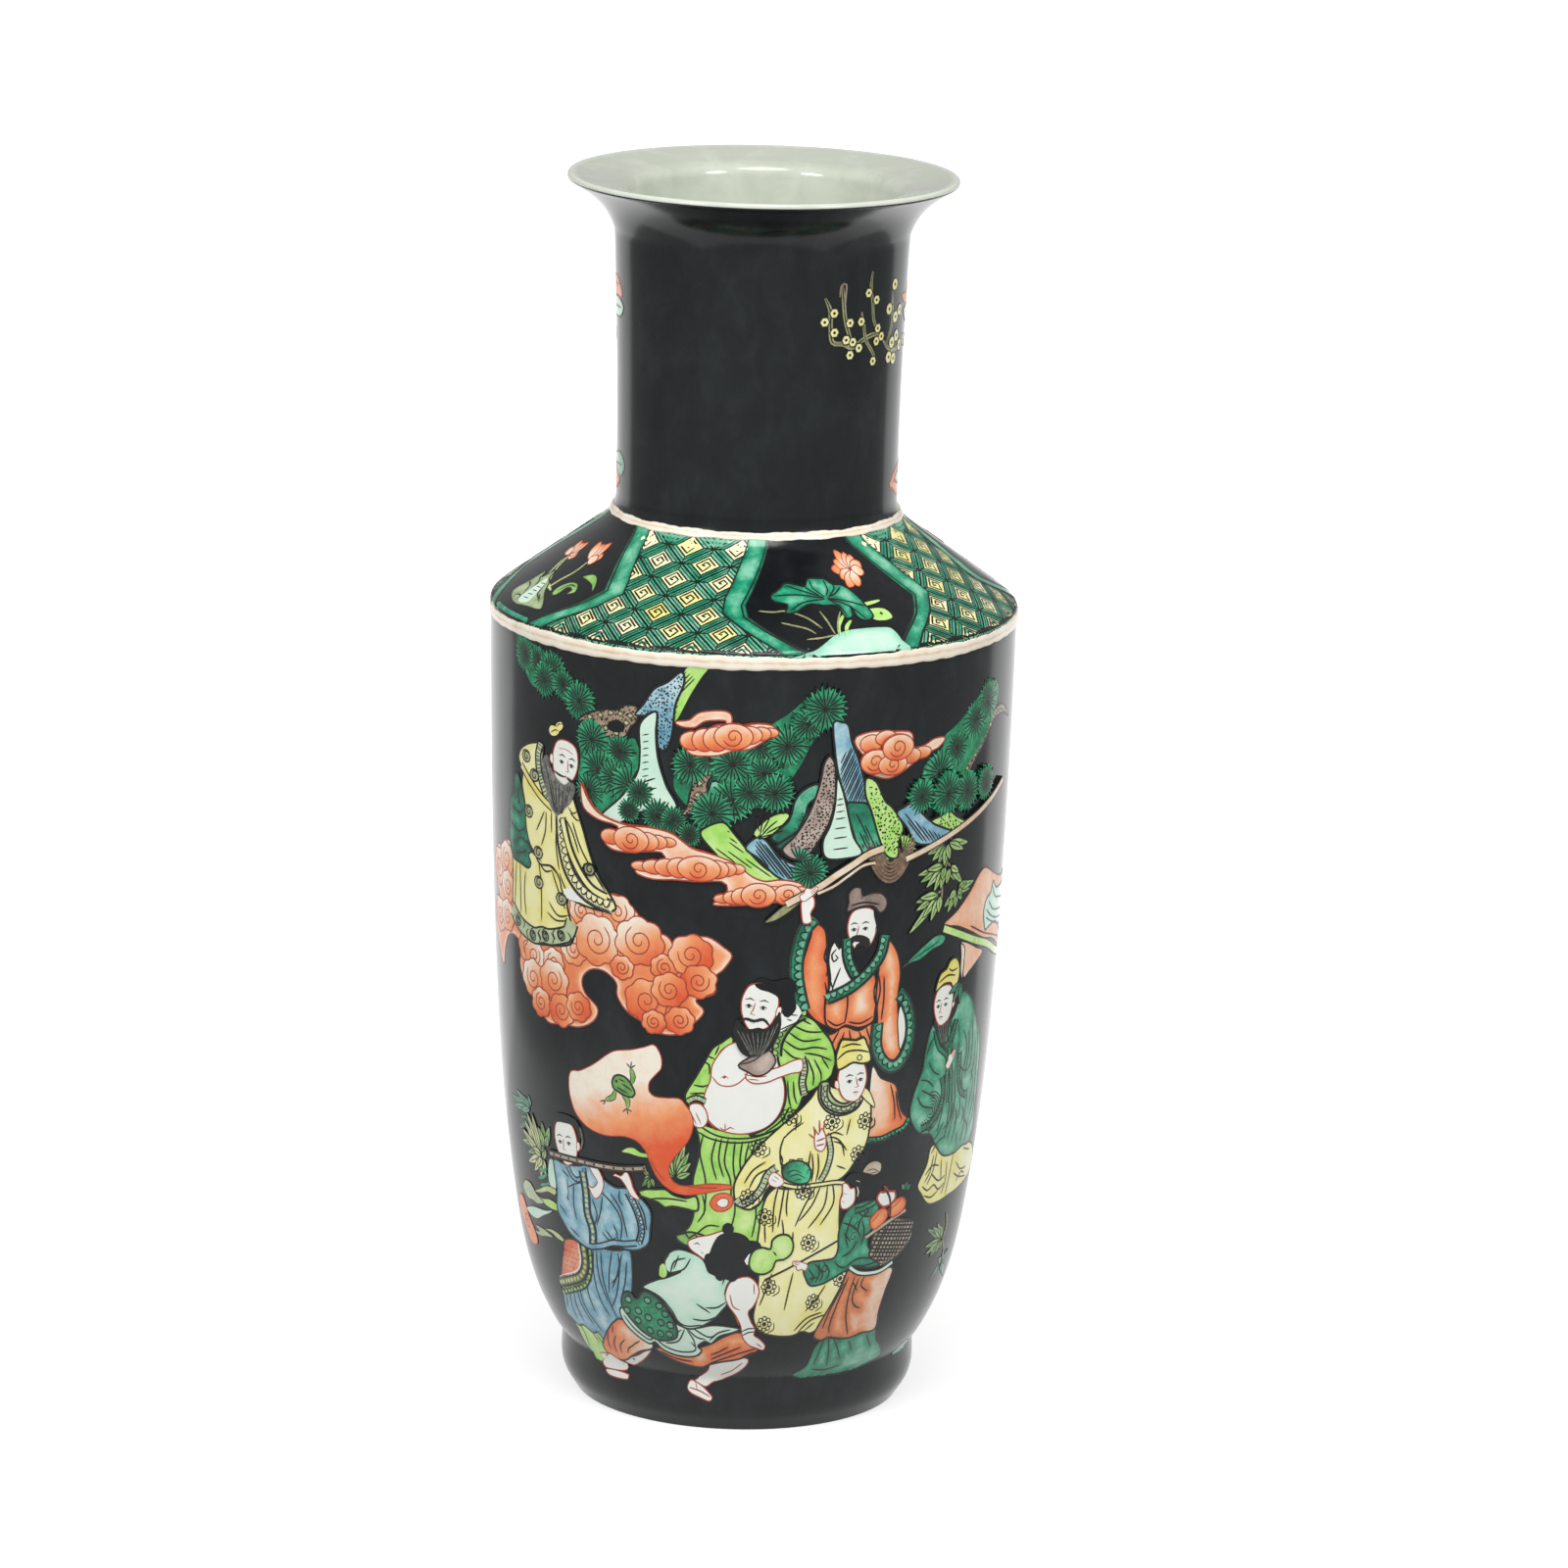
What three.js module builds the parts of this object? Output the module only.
// A tall porcelain vase with an upright barrel, a sloping shoulder, a straight neck and a flared mouth.
// It is built the way a potter builds one this tall: sections thrown on the wheel, their edges cut to a
// lap, luted one on the other with slip, and a soft coil pressed over each deep seam on the inside.
// Millimetres, +Z up. The origin is the centre of the foot, on the surface that the vase stands on.

import * as THREE from 'three';

// Heights of the sections, from the foot up.
const FOOT_HEIGHT = 21;
const BODY_HEIGHT = 275;
const SHOULDER_RISE = 32;
const NECK_HEIGHT = 104;
const MOUTH_HEIGHT = 18;

// Outside radii.
const FOOT_RADIUS = 65;
const FOOT_LAND_RADIUS = 59.5;
const BODY_FOOT_RADIUS = 64.5;
const BODY_RADIUS = 95;
const NECK_RADIUS = 50.5;
const NECK_TOP_RADIUS = 53;
const MOUTH_RADIUS = 70;

// Walls.
const BODY_WALL = 5;
const NECK_WALL = 4.5;
const LIP_THICKNESS = 3.2;
const FLOOR_THICKNESS = 10;
const FOOT_RING_WIDTH = 9;
const FOOT_LAND_WIDTH = 3.5;
const FLOOR_RISE = 1;

// Edges turned on the wheel.
const SHOULDER_EDGE_ROUND = 7;
const NECK_FOOT_ROUND = 7;
const FLOOR_ROUND = 30;
const FLOOR_LEAN = 0.3;
const FOOT_EDGE_ROUND = 8;

// Luted seams: a tongue half as thick as the wall stands up into a rebate in the section above.
const MIDDLE_SEAM_HEIGHT = 150;
const SHOULDER_SEAM_DROP = 9;
const NECK_SEAM_RISE = 9;
const MOUTH_SEAM_DROP = 6;
const TONGUE_HEIGHT = 4;
const SLIP_GAP = 0.3;
const COIL_WIDTH = 14;
const COIL_THICKNESS = 2.2;

// How the barrel swells between its foot and its shoulder: share of its height, share of its swell.
const BODY_SWELL = [
  [0, 0], [0.025, 0.15], [0.074, 0.35], [0.14, 0.515], [0.24, 0.66],
  [0.36, 0.785], [0.52, 0.88], [0.72, 0.95], [0.88, 0.985], [1, 1],
];

// Facets.
const SIDES = 48;
const BODY_STEPS = 14;
const NECK_STEPS = 4;
const MOUTH_STEPS = 6;
const ROUND_STEPS = 3;

const SHOULDER_EDGE_Z = FOOT_HEIGHT + BODY_HEIGHT;
const NECK_FOOT_Z = SHOULDER_EDGE_Z + SHOULDER_RISE;
const NECK_TOP_Z = NECK_FOOT_Z + NECK_HEIGHT;
const LIP_Z = NECK_TOP_Z + MOUTH_HEIGHT;
const MIDDLE_SEAM_Z = FOOT_HEIGHT + MIDDLE_SEAM_HEIGHT;
const SHOULDER_SEAM_Z = SHOULDER_EDGE_Z - SHOULDER_SEAM_DROP;
const NECK_SEAM_Z = NECK_FOOT_Z + NECK_SEAM_RISE;
const MOUTH_SEAM_Z = NECK_TOP_Z - MOUTH_SEAM_DROP;
const FLOOR_TOP_Z = FOOT_HEIGHT + FLOOR_RISE;
const RECESS_Z = FLOOR_TOP_Z - FLOOR_THICKNESS;
const RING_BORE = FOOT_RADIUS - FOOT_RING_WIDTH;

const point = (radius, z) => new THREE.Vector2(radius, z);

// Replaces a corner by a curve that leaves and meets its two sides at the given distance from it.
function rounded(before, corner, after, size) {
  const towards = (end) => {
    const side = end.clone().sub(corner);
    return corner.clone().addScaledVector(side, Math.min(size / side.length(), 0.48));
  };
  return new THREE.QuadraticBezierCurve(towards(before), corner, towards(after)).getPoints(ROUND_STEPS);
}

// The same line moved inwards by the wall, square to itself at each point.
function insetLine(line, wallAt) {
  return line.map((here, i) => {
    const along = line[Math.min(i + 1, line.length - 1)].clone().sub(line[Math.max(i - 1, 0)]).normalize();
    return here.clone().addScaledVector(point(-along.y, along.x), wallAt(here));
  });
}

// Radius of a line at a height. The line climbs all the way.
function radiusAt(line, z) {
  const i = Math.max(1, line.findIndex((p, k) => k > 0 && p.y >= z));
  const [low, high] = [line[i - 1], line[i]];
  return low.x + ((high.x - low.x) * (z - low.y)) / (high.y - low.y);
}

// The stretch of a line between two heights, with a point of its own at each of them.
function stretch(line, from, to) {
  const inner = line.filter((p) => p.y > from + SLIP_GAP && p.y < to - SLIP_GAP);
  return [point(radiusAt(line, from), from), ...inner, point(radiusAt(line, to), to)];
}

// Outside of the barrel, from the foot ring to the shoulder edge.
function barrelLine() {
  const swell = BODY_RADIUS - BODY_FOOT_RADIUS;
  const gauge = BODY_SWELL.map(([height, share]) =>
    point(BODY_FOOT_RADIUS + swell * share, FOOT_HEIGHT + BODY_HEIGHT * height));
  const curve = new THREE.SplineCurve(gauge);
  return curve.getPoints(BODY_STEPS);
}

// Outside of the neck, which widens a little towards the mouth.
function neckLine() {
  const lean = point(NECK_RADIUS, NECK_FOOT_Z + NECK_HEIGHT * 0.55);
  return new THREE.QuadraticBezierCurve(
    point(NECK_RADIUS, NECK_FOOT_Z), lean, point(NECK_TOP_RADIUS, NECK_TOP_Z)).getPoints(NECK_STEPS);
}

// Underside of the flared mouth, from the top of the neck to the lip.
function flareLine() {
  return new THREE.CubicBezierCurve(
    point(NECK_TOP_RADIUS, NECK_TOP_Z),
    point(NECK_TOP_RADIUS + 0.2, NECK_TOP_Z + MOUTH_HEIGHT * 0.5),
    point(NECK_TOP_RADIUS + 3, LIP_Z - LIP_THICKNESS - MOUTH_HEIGHT * 0.28),
    point(MOUTH_RADIUS - 1, LIP_Z - LIP_THICKNESS)).getPoints(MOUTH_STEPS);
}

// The whole outside, from the top of the foot ring to the underside of the lip.
function outsideLine() {
  const barrel = barrelLine();
  const neck = neckLine();
  const edge = point(BODY_RADIUS, SHOULDER_EDGE_Z);
  const neckFoot = point(NECK_RADIUS, NECK_FOOT_Z);
  return [
    ...barrel.filter((p) => p.y < SHOULDER_EDGE_Z - SHOULDER_EDGE_ROUND),
    ...rounded(barrel.at(-2), edge, neckFoot, SHOULDER_EDGE_ROUND),
    ...rounded(edge, neckFoot, neck[1], NECK_FOOT_ROUND),
    ...neck.slice(1, -1),
    ...flareLine(),
  ];
}

// The neck's wall is thinner than the body's, and the change is spread over the shoulder.
function wallAt(here) {
  const climb = THREE.MathUtils.clamp((here.y - SHOULDER_EDGE_Z) / SHOULDER_RISE, 0, 1);
  return THREE.MathUtils.lerp(BODY_WALL, NECK_WALL, climb);
}

const outside = outsideLine();
const inside = insetLine(outside, wallAt);
const seamMiddle = (z) => (radiusAt(outside, z) + radiusAt(inside, z)) / 2;

// Turns a closed outline round the vase's axis. The outline runs up the outside and down the inside.
function turned(name, outline, material) {
  const sides = outline.map((p) => point(Math.max(p.x, 0), p.y));
  if (sides[0].x > 0) sides.push(sides[0].clone());
  const lathe = new THREE.LatheGeometry(sides, SIDES);
  lathe.rotateX(Math.PI / 2);
  const mesh = new THREE.Mesh(lathe, material);
  mesh.name = name;
  return mesh;
}

// Top edge of a section: a seat for the outer half of the wall above, and the tongue inside it.
function tongue(z) {
  const middle = seamMiddle(z) - SLIP_GAP / 2;
  const top = z + TONGUE_HEIGHT;
  return [point(middle, z), point(middle, top), point(radiusAt(inside, top), top)];
}

// Bottom edge of a section, from the inside out: the rebate that takes the tongue, and the seat.
function rebate(z) {
  const middle = seamMiddle(z) + SLIP_GAP / 2;
  const top = z + TONGUE_HEIGHT + SLIP_GAP;
  return [point(radiusAt(inside, top), top), point(middle, top), point(middle, z)];
}

// A section that is open at both ends, between two seams.
function openSection(name, from, to, material) {
  const inner = stretch(inside, from + TONGUE_HEIGHT + SLIP_GAP, to + TONGUE_HEIGHT).reverse();
  return turned(name, [
    ...stretch(outside, from, to),
    ...tongue(to),
    ...inner.slice(1, -1),
    ...rebate(from),
  ], material);
}

// The lower half of the barrel, with the floor. A boss under the floor sits inside the foot ring.
function lowerBody(material) {
  const filletTop = FLOOR_TOP_Z + FLOOR_ROUND;
  const wallFoot = point(radiusAt(inside, filletTop), filletTop);
  const heel = point(wallFoot.x - FLOOR_ROUND * FLOOR_LEAN, FLOOR_TOP_Z);
  const fillet = new THREE.QuadraticBezierCurve(
    wallFoot, heel, point(heel.x - FLOOR_ROUND, FLOOR_TOP_Z)).getPoints(ROUND_STEPS + 1);
  const inner = stretch(inside, filletTop, MIDDLE_SEAM_Z + TONGUE_HEIGHT).reverse();
  const boss = RING_BORE - SLIP_GAP;
  return turned('lower_body', [
    point(0, RECESS_Z),
    point(boss, RECESS_Z),
    point(boss, FOOT_HEIGHT),
    ...stretch(outside, FOOT_HEIGHT, MIDDLE_SEAM_Z),
    ...tongue(MIDDLE_SEAM_Z),
    ...inner.slice(1),
    ...fillet.slice(1),
    point(0, FLOOR_TOP_Z),
  ], material);
}

// The foot ring: a flat unglazed land to stand on, pared to a bevel on both sides.
function footRing(material) {
  const landInside = FOOT_LAND_RADIUS - FOOT_LAND_WIDTH;
  const bulge = point(FOOT_RADIUS, FOOT_HEIGHT * 0.4);
  const top = FOOT_HEIGHT - SLIP_GAP;
  const outer = rounded(point(FOOT_LAND_RADIUS, 0), bulge, point(BODY_FOOT_RADIUS, top), FOOT_EDGE_ROUND);
  return turned('foot_ring', [
    point(FOOT_LAND_RADIUS, 0),
    ...outer,
    point(BODY_FOOT_RADIUS, top),
    point(RING_BORE, top),
    point(RING_BORE, FOOT_LAND_WIDTH),
    point(Math.max(landInside, RING_BORE), 0),
  ], material);
}

// The flared mouth, with a rounded lip, dished on top down to the throat.
function mouthRim(material) {
  const lipMiddle = LIP_Z - LIP_THICKNESS / 2;
  const lip = new THREE.EllipseCurve(
    MOUTH_RADIUS - LIP_THICKNESS / 2, lipMiddle, LIP_THICKNESS / 2, LIP_THICKNESS / 2, -Math.PI / 2, Math.PI / 2,
  ).getPoints(2 * ROUND_STEPS);
  const throatZ = MOUTH_SEAM_Z + TONGUE_HEIGHT + SLIP_GAP;
  const throat = radiusAt(inside, throatZ);
  const dish = new THREE.CubicBezierCurve(
    point(MOUTH_RADIUS - LIP_THICKNESS / 2, LIP_Z),
    point(NECK_TOP_RADIUS, LIP_Z - MOUTH_HEIGHT * 0.2),
    point(throat + 0.4, LIP_Z - MOUTH_HEIGHT * 0.4),
    point(throat, throatZ)).getPoints(MOUTH_STEPS);
  const flare = stretch(outside, MOUTH_SEAM_Z, LIP_Z - LIP_THICKNESS).slice(0, -1);
  return turned('mouth_rim', [...flare, ...lip, ...dish.slice(1, -1), ...rebate(MOUTH_SEAM_Z)], material);
}

// A coil of soft clay smoothed over a seam on the inside, a slip film away from the wall.
function seamCoil(name, z, material) {
  const half = COIL_WIDTH / 2;
  const wallSide = stretch(inside, z - half, z + half).map((p) => point(p.x - SLIP_GAP, p.y));
  const [low, high] = [wallSide[0], wallSide.at(-1)];
  const crown = point((low.x + high.x) / 2 - 2 * COIL_THICKNESS, z);
  const hollowSide = new THREE.QuadraticBezierCurve(high, crown, low).getPoints(2 * ROUND_STEPS);
  return turned(name, [...wallSide, ...hollowSide.slice(1, -1)], material);
}

const blackEnamel = new THREE.MeshStandardMaterial({ color: 0x1c1f20, roughness: 0.22, metalness: 0 });
const whiteGlaze = new THREE.MeshStandardMaterial({ color: 0xdfe3d8, roughness: 0.18, metalness: 0 });
const bareClay = new THREE.MeshStandardMaterial({ color: 0xcfc3ae, roughness: 0.8, metalness: 0 });

const vase = new THREE.Group();
vase.name = 'baluster_vase';
vase.add(
  footRing(blackEnamel),
  lowerBody(blackEnamel),
  openSection('upper_body', MIDDLE_SEAM_Z, SHOULDER_SEAM_Z, blackEnamel),
  openSection('shoulder', SHOULDER_SEAM_Z, NECK_SEAM_Z, blackEnamel),
  openSection('neck', NECK_SEAM_Z, MOUTH_SEAM_Z, blackEnamel),
  mouthRim(whiteGlaze),
  seamCoil('body_seam_coil', MIDDLE_SEAM_Z, bareClay),
  seamCoil('shoulder_seam_coil', SHOULDER_SEAM_Z - COIL_WIDTH / 2, bareClay),
  seamCoil('neck_seam_coil', NECK_SEAM_Z + COIL_WIDTH / 2, bareClay),
);

export default vase;
